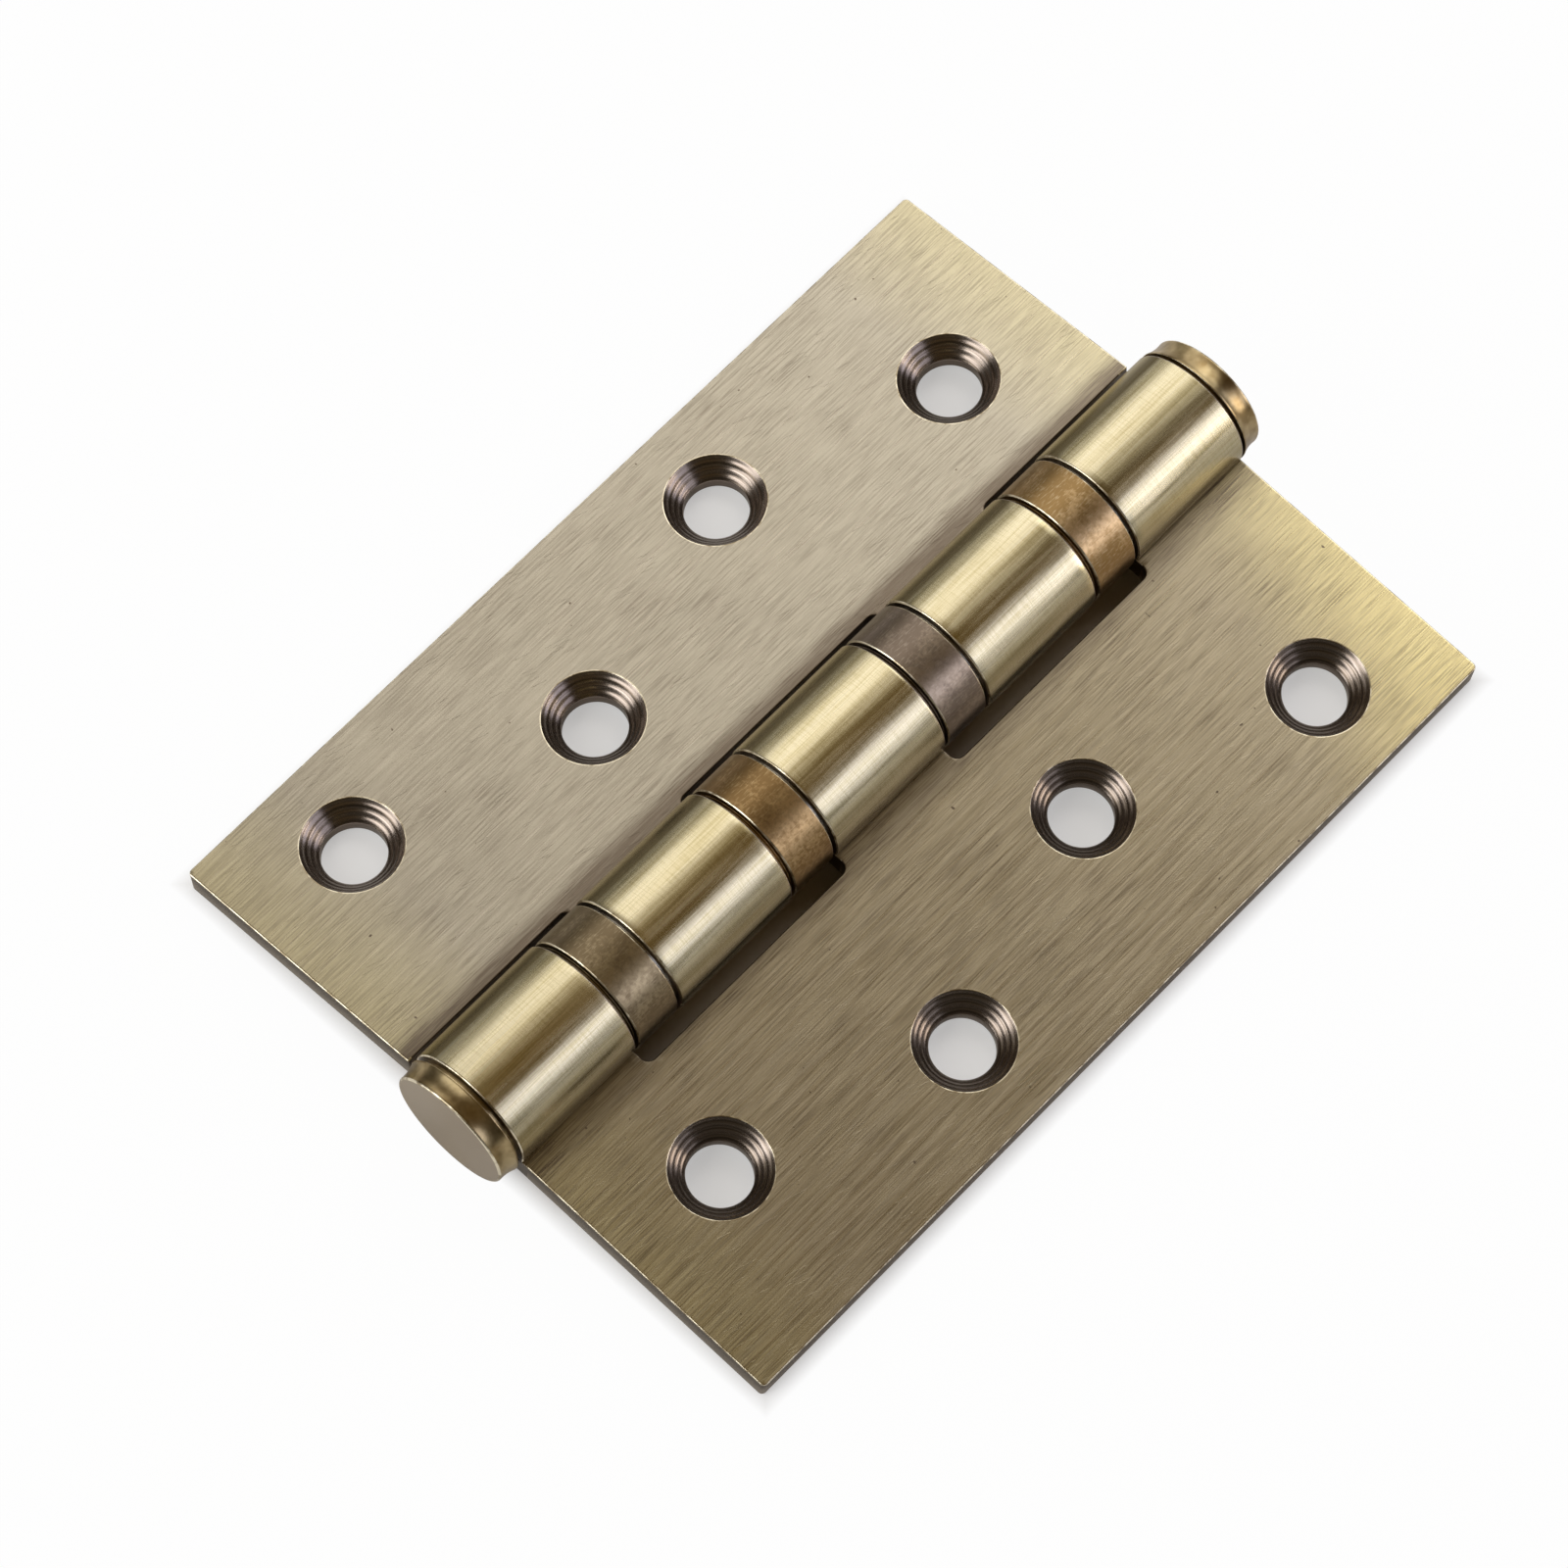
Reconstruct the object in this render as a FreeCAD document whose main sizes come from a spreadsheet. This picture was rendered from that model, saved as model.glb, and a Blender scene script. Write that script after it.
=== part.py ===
import FreeCAD, Part
import math
import os
import re

import Sketcher

# Ball bearing hinge, lying open with its countersunk faces up.
# The frame's origin is on the surface it lies on, under the middle of the barrel.
# +Y runs along the barrel towards the pin's own button, +X towards the leaf with three knuckles.

# Driving sizes in millimetres and degrees. A cut runs past what it cuts by the overrun.
SIZES = {
    "leaf_length": 101.6,
    "leaf_reach": 38.1,
    "leaf_thickness": 3.0,
    "leaf_corner": 0.5,
    "closed_gap": 2.0,
    "pin_radius": 3.95,
    "pin_clearance": 0.05,
    "roll_seam": 0.12,
    "swage_radius": 2.5,
    "knuckle_bevel": 0.25,
    "slot_gap_three": 1.85,
    "slot_gap_two": 1.5,
    "slot_corner": 1.0,
    "screw_hole_radius": 3.3,
    "sink_radius": 5.15,
    "sink_angle": 90.0,
    "screw_pitch": 25.4,
    "inner_row": 20.6,
    "outer_row": 28.4,
    "button_length": 2.8,
    "button_space": 0.35,
    "button_lip": 0.2,
    "button_cove": 4.0,
    "button_round": 0.25,
    "button_inset": 0.35,
    "lip_inset": 0.05,
    "shank_bevel": 0.4,
    "spigot_length": 7.0,
    "spigot_space": 1.0,
    "bearing_length": 6.3,
    "end_space": 0.25,
    "neck_inset": 0.75,
    "sleeve_inset": 0.1,
    "sleeve_wall": 0.6,
    "sleeve_bevel": 0.18,
    "rim_thickness": 0.45,
    "rim_bevel": 0.08,
    "rim_space": 0.06,
    "race_bore_clearance": 0.1,
    "race_clearance": 0.1,
    "ball_diameter": 1.588,
    "ball_count": 10,
    "ball_play": 0.02,
    "groove_depth": 0.25,
    "groove_ease": 0.06,
    "cage_thickness": 0.8,
    "cage_clearance": 0.1,
    "pocket_clearance": 0.06,
    "overrun": 1.0,
}
KNUCKLES = 5
BEARINGS = KNUCKLES - 1

# Lengths that follow from the driving sizes, as expressions on the sheet
HALF_LEAF = "(leaf_length / 2)"
FACE = "(closed_gap / 2)"
BACK = "(closed_gap / 2 + leaf_thickness)"
BORE = "(pin_radius + pin_clearance)"
BARREL = "(pin_radius + pin_clearance + leaf_thickness)"
KNUCKLE = f"((leaf_length - {BEARINGS} * bearing_length) / {KNUCKLES})"
NECK = f"({BARREL} - neck_inset)"
RACE_BORE = "(pin_radius + race_bore_clearance)"
SLEEVE = f"({BARREL} - sleeve_inset)"
SLEEVE_BORE = f"({SLEEVE} - sleeve_wall)"
RACE = f"({SLEEVE_BORE} - race_clearance)"
BALL = "(ball_diameter / 2)"
PITCH = f"(({SLEEVE_BORE} + {RACE_BORE}) / 2)"
RACE_THICKNESS = "((bearing_length - ball_diameter) / 2 - ball_play + groove_depth)"

# Each leaf droops until its outer back edge meets the surface that carries the barrel
DROOP = f"(asin({BARREL} / hypot(leaf_reach; {BACK})) - atan2({BACK}; leaf_reach))"

doc = FreeCAD.newDocument("BallBearingHinge")
sheet = doc.addObject("Spreadsheet::Sheet", "Sizes")
for row, (alias, size) in enumerate(SIZES.items(), start=1):
    sheet.set(f"A{row}", alias)
    sheet.set(f"B{row}", str(size))
    sheet.setAlias(f"B{row}", alias)
doc.recompute()


def on_sheet(text):
    """The same expression with the sheet's name put before each of its cells."""
    return re.sub(r"[a-z]\w+", lambda word: "Sizes." + word[0] if word[0] in SIZES else word[0], text)


def size_of(text):
    """The value of an expression, as a plain number."""
    return float(sheet.evalExpression(on_sheet(text)))


def tie(part, name, text):
    """Binds a property of a part, or a sketch's constraint, to an expression."""
    part.setExpression(name, on_sheet(text))


def knuckle_start(number):
    """Where knuckle 1 to 5 starts along the barrel."""
    return f"(-{HALF_LEAF} + {number - 1} * ({KNUCKLE} + bearing_length))"


def knuckle_end(number):
    """Where knuckle 1 to 5 ends along the barrel, and the bearing of that number starts."""
    return f"({knuckle_start(number)} + {KNUCKLE})"


def new_body(label):
    """An empty body whose label names its file."""
    body = doc.addObject("PartDesign::Body", label)
    body.Label = label
    return body


def origin_part(body, role):
    """One of the body's own origin planes or axes."""
    return [part for part in body.Origin.OriginFeatures if part.Role == role][0]


def new_sketch(body, name, plane_role):
    """An empty sketch on one of the body's origin planes."""
    sketch = body.newObject("Sketcher::SketchObject", name)
    sketch.AttachmentSupport = [(origin_part(body, plane_role), "")]
    sketch.MapMode = "FlatFace"
    return sketch


def hold_point(sketch, geometry, end, across, along):
    """Holds a line's or arc's end, or a circle's centre, at two expressions from the origin."""
    for kind, text in (("DistanceX", across), ("DistanceY", along)):
        number = sketch.addConstraint(Sketcher.Constraint(kind, -1, 1, geometry, end, size_of(text)))
        tie(sketch, f"Constraints[{number}]", text)


def hold_radius(sketch, geometry, text):
    """Holds the radius of an arc or a circle."""
    number = sketch.addConstraint(Sketcher.Constraint("Radius", geometry, size_of(text)))
    tie(sketch, f"Constraints[{number}]", text)


def draw_circle(sketch, radius, across="0", along="0"):
    """A circle with its radius and centre given as expressions."""
    centre = FreeCAD.Vector(size_of(across), size_of(along), 0)
    circle = Part.Circle(centre, FreeCAD.Vector(0, 0, 1), size_of(radius))
    number = sketch.addGeometry(circle, False)
    hold_point(sketch, number, 3, across, along)
    hold_radius(sketch, number, radius)


def draw_outline(sketch, points, arcs=None):
    """A closed outline through points given as pairs of expressions.

    arcs holds, for the stretch that leaves point N, its radius and the side of its centre:
    1 where the centre is on the left of the way from N to the next point, -1 on the right.
    """
    arcs = arcs or {}
    places = [FreeCAD.Vector(size_of(across), size_of(along), 0) for across, along in points]
    for index, start in enumerate(places):
        end = places[(index + 1) % len(places)]
        if index not in arcs:
            sketch.addGeometry(Part.LineSegment(start, end), False)
            continue
        radius_text, side = arcs[index]
        radius = size_of(radius_text)
        half = (end - start) * 0.5
        left = FreeCAD.Vector(-half.y, half.x, 0).normalize()
        centre = start + half + left * side * math.sqrt(radius**2 - half.Length**2)
        middle = centre - left * side * radius
        turning_left = (start, middle, end) if side > 0 else (end, middle, start)
        sketch.addGeometry(Part.Arc(*turning_left), False)
        hold_radius(sketch, index, radius_text)

    def ends(index):
        """The numbers of a stretch's start and end, swapped on an arc that turns right."""
        return (2, 1) if index in arcs and arcs[index][1] < 0 else (1, 2)

    for index, point in enumerate(points):
        following = (index + 1) % len(points)
        joint = (index, ends(index)[1], following, ends(following)[0])
        sketch.addConstraint(Sketcher.Constraint("Coincident", *joint))
        hold_point(sketch, index, ends(index)[0], *point)


def extrude(body, kind, name, sketch, length):
    """Pads or pockets a sketch both ways from its plane, to a total length."""
    feature = body.newObject(kind, name)
    feature.Profile = sketch
    feature.Midplane = True
    tie(feature, "Length", length)
    doc.recompute()
    return feature


def revolve(body, name, points, arcs=None):
    """Turns a half section, given as (radius, place along the barrel), about the barrel's axis."""
    sketch = new_sketch(body, name + "Section", "XY_Plane")
    draw_outline(sketch, points, arcs)
    turned = body.newObject("PartDesign::Revolution", name)
    turned.Profile = sketch
    turned.ReferenceAxis = (sketch, ["V_Axis"])
    turned.Angle = 360
    doc.recompute()


def dress_edges(body, kind, name, test, size_property, text):
    """Rounds or bevels the edges of the body so far that pass a test."""
    base = body.Tip
    edges = [f"Edge{number}" for number, edge in enumerate(base.Shape.Edges, start=1) if test(edge)]
    dressed = body.newObject(kind, name)
    dressed.Base = (base, edges)
    tie(dressed, size_property, text)
    doc.recompute()


def place_on_axis(part, along="0"):
    """Lifts a part that is drawn round the origin's Y axis to the barrel's axis."""
    tie(part, "Placement.Base.z", BARREL)
    tie(part, "Placement.Base.y", along)


# Leaves

def roll_leaf(label):
    """A leaf's full-length section: a plate with its edge rolled round the pin, offset by a swage."""
    body = new_body(label)
    roll = new_sketch(body, "RollCircle", "XZ_Plane")
    draw_circle(roll, BARREL)
    extrude(body, "PartDesign::Pad", "Roll", roll, "leaf_length")

    # The swage's arc touches the plate's back and the barrel from outside, so its centre is as far
    # from the axis as the two radii together
    swage_start = f"sqrt(({BARREL} + swage_radius)^2 - ({BACK} + swage_radius)^2)"
    share = f"{BARREL} / ({BARREL} + swage_radius)"
    swage_low = f"(-({BACK} + swage_radius) * {share})"
    plate = new_sketch(body, "PlateSection", "XZ_Plane")
    outline = [
        ("0", f"-{FACE}"),
        ("leaf_reach", f"-{FACE}"),
        ("leaf_reach", f"-{BACK}"),
        (swage_start, f"-{BACK}"),
        (f"{swage_start} * {share}", swage_low),
        ("0", swage_low),
    ]
    draw_outline(plate, outline, {3: ("swage_radius", 1)})
    extrude(body, "PartDesign::Pad", "Plate", plate, "leaf_length")

    bore = new_sketch(body, "BoreCircle", "XZ_Plane")
    draw_circle(bore, BORE)
    extrude(body, "PartDesign::Pocket", "Bore", bore, "leaf_length + 2 * overrun")

    # The roll's end stops just short of the plate's front face
    seam = new_sketch(body, "SeamSection", "XZ_Plane")
    seam_top = f"(roll_seam - {FACE})"
    seam_outline = [
        ("pin_clearance", f"-{FACE}"),
        (f"{BARREL} + overrun", f"-{FACE}"),
        (f"{BARREL} + overrun", seam_top),
        ("pin_clearance", seam_top),
    ]
    draw_outline(seam, seam_outline)
    extrude(body, "PartDesign::Pocket", "Seam", seam, "leaf_length + 2 * overrun")
    return body


def cut_slot(body, name, reach, start, end, open_start=False, open_end=False):
    """Cuts the room for the other leaf's knuckle and its bearings, with rounded corners at the plate."""
    inside = f"(-{BARREL} - overrun)"
    points = [(inside, start)]
    arcs = {}
    if open_start:
        points.append((reach, start))
    else:
        arcs[len(points)] = ("slot_corner", 1)
        points.append((f"{reach} - slot_corner", start))
        points.append((reach, f"{start} + slot_corner"))
    if open_end:
        points.append((reach, end))
    else:
        arcs[len(points)] = ("slot_corner", 1)
        points.append((reach, f"{end} - slot_corner"))
        points.append((f"{reach} - slot_corner", end))
    points.append((inside, end))
    sketch = new_sketch(body, name + "Outline", "XY_Plane")
    draw_outline(sketch, points, arcs)
    extrude(body, "PartDesign::Pocket", name, sketch, f"2 * ({BARREL} + overrun)")


def finish_leaf(body):
    """Rounds the plate's outer corners, bevels the knuckles' ends and sinks the four screw holes."""
    reach, half_length, barrel = size_of("leaf_reach"), size_of(HALF_LEAF), size_of(BARREL)
    near = 0.001

    def is_corner(edge):
        """True for the two short upright edges at the plate's outer corners."""
        middle = edge.CenterOfMass
        return abs(middle.x - reach) < near and abs(abs(middle.y) - half_length) < near

    def is_knuckle_end(edge):
        """True for the arcs that bound each knuckle's outside at its two ends."""
        return isinstance(edge.Curve, Part.Circle) and abs(edge.Curve.Radius - barrel) < near

    dress_edges(body, "PartDesign::Fillet", "PlateCorners", is_corner, "Radius", "leaf_corner")
    dress_edges(body, "PartDesign::Chamfer", "KnuckleEnds", is_knuckle_end, "Size", "knuckle_bevel")

    centres = new_sketch(body, "ScrewCentres", "XY_Plane")
    tie(centres, "AttachmentOffset.Base.z", f"-{FACE}")
    staggered = [(-1.5, "inner_row"), (-0.5, "outer_row"), (0.5, "inner_row"), (1.5, "outer_row")]
    for steps, screw_row in staggered:
        draw_circle(centres, "screw_hole_radius", screw_row, f"{steps} * screw_pitch")
    doc.recompute()
    holes = body.newObject("PartDesign::Hole", "ScrewHoles")
    holes.Profile = centres
    doc.recompute()
    holes.ThreadType = "None"
    holes.DepthType = "ThroughAll"
    holes.HoleCutType = "Countersink"
    holes.HoleCutCustomValues = True
    tie(holes, "Diameter", "2 * screw_hole_radius")
    tie(holes, "HoleCutDiameter", "2 * sink_radius")
    tie(holes, "HoleCutCountersinkAngle", "sink_angle")
    doc.recompute()


def place_leaf(body, turn):
    """Turns a leaf to its side of the barrel and lets it droop to the surface."""
    centre = f"create(<<vector>>; 0; 0; {BARREL})"
    tie(body, "Placement", f"create(<<placement>>; {centre}; create(<<rotation>>; {turn}; {DROOP}; 0))")


# Leaf with knuckles 1, 3 and 5
leaf_three = roll_leaf("leaf_three_knuckle")
three_reach = f"({BARREL} + slot_gap_three)"
cut_slot(leaf_three, "LowerSlot", three_reach, knuckle_end(1), knuckle_start(3))
cut_slot(leaf_three, "UpperSlot", three_reach, knuckle_end(3), knuckle_start(5))
finish_leaf(leaf_three)
place_leaf(leaf_three, 0)

# Leaf with knuckles 2 and 4, punched alike and turned end for end
leaf_two = roll_leaf("leaf_two_knuckle")
two_reach = f"({BARREL} + slot_gap_two)"
below = f"(-{HALF_LEAF} - overrun)"
above = f"({HALF_LEAF} + overrun)"
cut_slot(leaf_two, "LowerEnd", two_reach, below, knuckle_start(2), open_start=True)
cut_slot(leaf_two, "MiddleSlot", two_reach, knuckle_end(2), knuckle_start(4))
cut_slot(leaf_two, "UpperEnd", two_reach, knuckle_end(4), above, open_end=True)
finish_leaf(leaf_two)
place_leaf(leaf_two, 180)


# Pin and plug

def turn_button(label, side, shank_radius, shank_end):
    """A turned button for the end at +Y or -Y, with a shank that ends at a place along the barrel."""
    lip = f"({BARREL} - lip_inset)"
    rim = f"({BARREL} - button_inset)"

    def outward(distance):
        """A place that far out from the end of the barrel."""
        return f"({side} * ({HALF_LEAF} + {distance}))"

    section = [
        (NECK, outward("0")),
        (NECK, outward("button_space")),
        (lip, outward("button_space")),
        (lip, outward("button_space + button_lip")),
        (rim, outward("button_length - button_round")),
        (f"{rim} - button_round", outward("button_length")),
        ("0", outward("button_length")),
        ("0", shank_end),
        (f"{shank_radius} - shank_bevel", shank_end),
        (shank_radius, f"{shank_end} + {side} * shank_bevel"),
        (shank_radius, outward("0")),
    ]
    body = new_body(label)
    revolve(body, "Turned", section, {3: ("button_cove", -side), 4: ("button_round", side)})
    place_on_axis(body)


spigot_end = f"(-{HALF_LEAF} + spigot_length)"
turn_button("hinge_pin", 1, "pin_radius", f"({spigot_end} + spigot_space)")
turn_button("tip_plug", -1, BORE, spigot_end)


# Bearings, each drawn from the end of the knuckle below it

GROOVE = f"({BALL} + groove_ease)"
GROOVE_HALF_WIDTH = f"sqrt({GROOVE}^2 - ({GROOVE} - groove_depth)^2)"
MIDDLE = "(bearing_length / 2)"
RIM_TOP = "(end_space + rim_thickness)"


def turn_ring(label, section, arcs, start):
    """One turned ring of a bearing, in its place on the barrel."""
    body = new_body(label)
    revolve(body, "Turned", section, arcs)
    place_on_axis(body, start)
    return body


def make_lower_race(number, start):
    """The washer with the lower ball groove, whose thin rim shows below the sleeve."""
    section = [
        (RACE_BORE, "0"),
        (NECK, "0"),
        (NECK, "end_space"),
        (f"{SLEEVE} - rim_bevel", "end_space"),
        (SLEEVE, "end_space + rim_bevel"),
        (SLEEVE, f"{RIM_TOP} - rim_bevel"),
        (f"{SLEEVE} - rim_bevel", RIM_TOP),
        (RACE, RIM_TOP),
        (RACE, RACE_THICKNESS),
        (f"{PITCH} + {GROOVE_HALF_WIDTH}", RACE_THICKNESS),
        (f"{PITCH} - {GROOVE_HALF_WIDTH}", RACE_THICKNESS),
        (RACE_BORE, RACE_THICKNESS),
    ]
    turn_ring(f"bearing_lower_race_{number}", section, {9: (GROOVE, -1)}, start)


def make_upper_race(number, start):
    """The washer with the upper ball groove, pressed into the sleeve."""
    under = f"(bearing_length - {RACE_THICKNESS})"
    section = [
        (RACE_BORE, under),
        (f"{PITCH} - {GROOVE_HALF_WIDTH}", under),
        (f"{PITCH} + {GROOVE_HALF_WIDTH}", under),
        (SLEEVE_BORE, under),
        (SLEEVE_BORE, "bearing_length"),
        (RACE_BORE, "bearing_length"),
    ]
    turn_ring(f"bearing_upper_race_{number}", section, {1: (GROOVE, -1)}, start)


def make_sleeve(number, start):
    """The casing ring that shows, with both outer edges bevelled."""
    low = f"({RIM_TOP} + rim_space)"
    high = "(bearing_length - end_space)"
    section = [
        (SLEEVE_BORE, low),
        (f"{SLEEVE} - sleeve_bevel", low),
        (SLEEVE, f"{low} + sleeve_bevel"),
        (SLEEVE, f"{high} - sleeve_bevel"),
        (f"{SLEEVE} - sleeve_bevel", high),
        (SLEEVE_BORE, high),
    ]
    turn_ring(f"bearing_sleeve_{number}", section, {}, start)


def make_cage(number, start):
    """A flat ring between the races, with a round pocket for each ball."""
    inside = f"({RACE_BORE} + cage_clearance)"
    outside = f"({SLEEVE_BORE} - cage_clearance)"
    low = f"({MIDDLE} - cage_thickness / 2)"
    high = f"({MIDDLE} + cage_thickness / 2)"
    section = [(inside, low), (outside, low), (outside, high), (inside, high)]
    cage = turn_ring(f"bearing_cage_{number}", section, {}, start)
    circle = new_sketch(cage, "PocketCircle", "XZ_Plane")
    draw_circle(circle, f"{BALL} + pocket_clearance", PITCH)
    first = extrude(cage, "PartDesign::Pocket", "Pocket", circle, "2 * bearing_length")
    pockets = cage.newObject("PartDesign::PolarPattern", "Pockets")
    pockets.Originals = [first]
    pockets.Axis = (origin_part(cage, "Y_Axis"), [""])
    pockets.Angle = 360
    tie(pockets, "Occurrences", "ball_count")
    cage.Tip = pockets


def make_balls(number, start):
    """The bearing's ring of balls, one group of separate solids."""
    balls = []
    for index in range(int(size_of("ball_count"))):
        ball = doc.addObject("Part::Sphere", f"ball_{number}_{index + 1}")
        angle = f"({index} * 360 deg / ball_count)"
        tie(ball, "Radius", BALL)
        tie(ball, "Placement.Base.x", f"{PITCH} * cos({angle})")
        tie(ball, "Placement.Base.y", f"{start} + {MIDDLE}")
        tie(ball, "Placement.Base.z", f"{BARREL} + {PITCH} * sin({angle})")
        balls.append(ball)
    group = doc.addObject("Part::Compound", f"bearing_balls_{number}")
    group.Label = f"bearing_balls_{number}"
    group.Links = balls


for bearing in range(1, BEARINGS + 1):
    bearing_start = knuckle_end(bearing)
    make_lower_race(bearing, bearing_start)
    make_upper_race(bearing, bearing_start)
    make_sleeve(bearing, bearing_start)
    make_cage(bearing, bearing_start)
    make_balls(bearing, bearing_start)
doc.recompute()

failed = [part.Name for part in doc.Objects if {"Invalid", "Error"} & set(part.State)]
if failed:
    raise RuntimeError(f"these objects failed: {failed}")
nodes = [part for part in doc.Objects if part.TypeId in ("PartDesign::Body", "Part::Compound")]
for node in nodes:
    if node.Shape.isNull() or not node.Shape.isValid():
        raise RuntimeError(f"{node.Label} has no valid shape")

os.makedirs("parts", exist_ok=True)
for node in nodes:
    node.Shape.exportStep(f"parts/{node.Label}.step")
    print(f"{node.Label}: {len(node.Shape.Solids)} solid, {node.Shape.Volume:.3f} mm3")
print(f"each leaf droops {size_of(DROOP):.3f} degrees")
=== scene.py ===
import math
from functools import partial

import bmesh
import bpy
import numpy as np
from mathutils import Matrix, Vector


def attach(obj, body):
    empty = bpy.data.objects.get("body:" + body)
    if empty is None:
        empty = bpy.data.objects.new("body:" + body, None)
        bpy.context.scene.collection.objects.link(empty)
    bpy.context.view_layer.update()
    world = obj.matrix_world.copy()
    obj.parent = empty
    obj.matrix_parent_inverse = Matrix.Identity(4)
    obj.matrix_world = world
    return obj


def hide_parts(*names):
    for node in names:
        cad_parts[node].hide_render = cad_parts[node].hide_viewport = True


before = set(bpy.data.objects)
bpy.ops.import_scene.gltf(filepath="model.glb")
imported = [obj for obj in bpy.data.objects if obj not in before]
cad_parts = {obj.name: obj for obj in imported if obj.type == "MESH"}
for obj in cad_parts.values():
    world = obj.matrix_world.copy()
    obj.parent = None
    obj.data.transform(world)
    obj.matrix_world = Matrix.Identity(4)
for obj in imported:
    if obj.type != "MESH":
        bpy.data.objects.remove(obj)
scene = bpy.context.scene
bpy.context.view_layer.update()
print("frame loaded with", len(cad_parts), "nodes")

# Lengths are in millimetres and become metres when a mesh is built
metre = 0.001
hinge = {
    "axisHeight": 7.0,      # barrel axis above the floor
    "barrel": 7.0,          # knuckle radius
    "bore": 4.0,
    "pin": 3.95,
    "length": 101.6,
    "bearing": 6.3,         # gap between two knuckles, filled by a bearing
    "knuckles": 5,
    "crease": 40,           # degrees between two faces from which their edge stays sharp
    "turnSteps": 112,       # mesh steps round a turned piece
}
hinge["halfLength"] = hinge["length"] / 2
hinge["knuckle"] = (hinge["length"] - 4 * hinge["bearing"]) / hinge["knuckles"]

leaf = {
    "reach": 38.1,          # barrel axis to the plate's outer edge
    "face": -1.0,           # front face below the axis, in the leaf's own height
    "back": -4.0,
    "corner": 0.5,
    "slotCorner": 1.0,
    "swage": 2.5,           # radius of the step on the back
    "seam": 0.12,
    "edge": 0.12,           # rounding of the plate's edges
    "knuckleEdge": 0.16,    # bevel of the knuckles' ends
    "sinkRadius": 5.15,
    "holeRadius": 3.3,
    "holeEdge": 0.1,
    "holeSquare": 6.5,      # half the square of the plate meshed round each hole
    "steps": 3.0,           # waves that the cutter left down each countersink
    "stepDepth": 0.013,
    "wavy": (0.08, 0.92),   # the part of the cone's slope that has them
    "screws": [(20.6, -38.1), (28.4, -12.7), (20.6, 12.7), (28.4, 38.1)],
    "pitch": 0.8,           # mesh step over the flat of the plate
    "roundSteps": 5,
    "acrossSteps": 4,
    "rollSteps": 132,
    "swageSteps": 9,
    "neckSteps": 4,
    "mapShift": 200.0,      # sets the two leaves' texture maps apart, so that their marks differ
}
leaf["droop"] = math.asin(hinge["barrel"] / math.hypot(leaf["reach"], leaf["back"])) \
    - math.atan2(-leaf["back"], leaf["reach"])


def knuckleSpan(number):
    # Start and end of knuckle 1 to 5 along the barrel
    start = -hinge["halfLength"] + (number - 1) * (hinge["knuckle"] + hinge["bearing"])
    return start, start + hinge["knuckle"]


# ---- shapes


def pairs(first, second):
    # Pairs of two values, where either may be a single number
    return np.stack(np.broadcast_arrays(first, second), -1).astype(float)


def ray(angle):
    # Unit vectors at those angles
    return np.stack([np.cos(angle), np.sin(angle)], -1)


def runAlong(points):
    # Distance along a path, at each of its points
    return np.concatenate([[0], np.cumsum(np.hypot(*np.diff(points, axis=0).T))])


def gridQuads(rowCount, columnCount):
    # Corner numbers of each cell of a grid of points
    number = np.arange(rowCount * columnCount).reshape(rowCount, columnCount)
    corners = [number[:-1, :-1], number[:-1, 1:], number[1:, 1:], number[1:, :-1]]
    return np.stack(corners, -1).reshape(-1, 4)


def patch(points, uv, slot=0, keep=None):
    # A grid of points with its texture map in mm, its material numbers and the cells to keep
    return {"points": points, "uv": uv, "slot": slot, "keep": keep}


def buildPiece(name, patches, materials):
    # Puts patches together, merges the points where they meet and turns every face outwards
    points, uvs, quads, slots = [], [], [], []
    count = 0
    for part in patches:
        rows, columns = part["points"].shape[:2]
        cells = gridQuads(rows, columns)
        numbers = np.broadcast_to(part["slot"], (rows - 1, columns - 1)).ravel()
        if part["keep"] is not None:
            cells = cells[part["keep"].ravel()]
            numbers = numbers[part["keep"].ravel()]
        points.append(part["points"].reshape(-1, 3))
        uvs.append(part["uv"].reshape(-1, 2))
        quads.append(cells + count)
        slots.append(numbers)
        count += rows * columns
    points = np.concatenate(points) * metre
    uvs = np.concatenate(uvs) * metre
    quads = np.concatenate(quads)
    used, place = np.unique(quads, return_inverse=True)
    quads = place.reshape(-1, 4)
    mesh = bpy.data.meshes.new(name)
    mesh.from_pydata(points[used].tolist(), [], quads.tolist())
    mesh.polygons.foreach_set("material_index", np.concatenate(slots))
    layer = mesh.uv_layers.new(name="surface")
    layer.data.foreach_set("uv", uvs[used][quads.ravel()].ravel())
    work = bmesh.new()
    work.from_mesh(mesh)
    bmesh.ops.remove_doubles(work, verts=work.verts, dist=0.001 * metre)
    bmesh.ops.recalc_face_normals(work, faces=work.faces)
    work.to_mesh(mesh)
    work.free()
    mesh.polygons.foreach_set("use_smooth", np.ones(len(mesh.polygons), bool))
    mesh.set_sharp_from_angle(angle=math.radians(hinge["crease"]))
    piece = bpy.data.objects.new(name, mesh)
    scene.collection.objects.link(piece)
    for material in materials:
        mesh.materials.append(material)
    piece.modifiers.new("faceNormals", "WEIGHTED_NORMAL").keep_sharp = True
    return piece


def arcPoints(start, end, radius, side, count=12):
    # Arc between two points, with its centre on the left (side 1) or right (side -1) of the way
    start, end = np.array(start, float), np.array(end, float)
    half = (end - start) / 2
    reach = np.hypot(*half)
    left = np.array([-half[1], half[0]]) / reach
    centre = start + half + left * side * math.sqrt(radius**2 - reach**2)
    first = math.atan2(*(start - centre)[::-1])
    turn = side * 2 * math.asin(reach / radius)
    angle = np.linspace(first, first + turn, count)
    return centre + radius * ray(angle)


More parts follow.
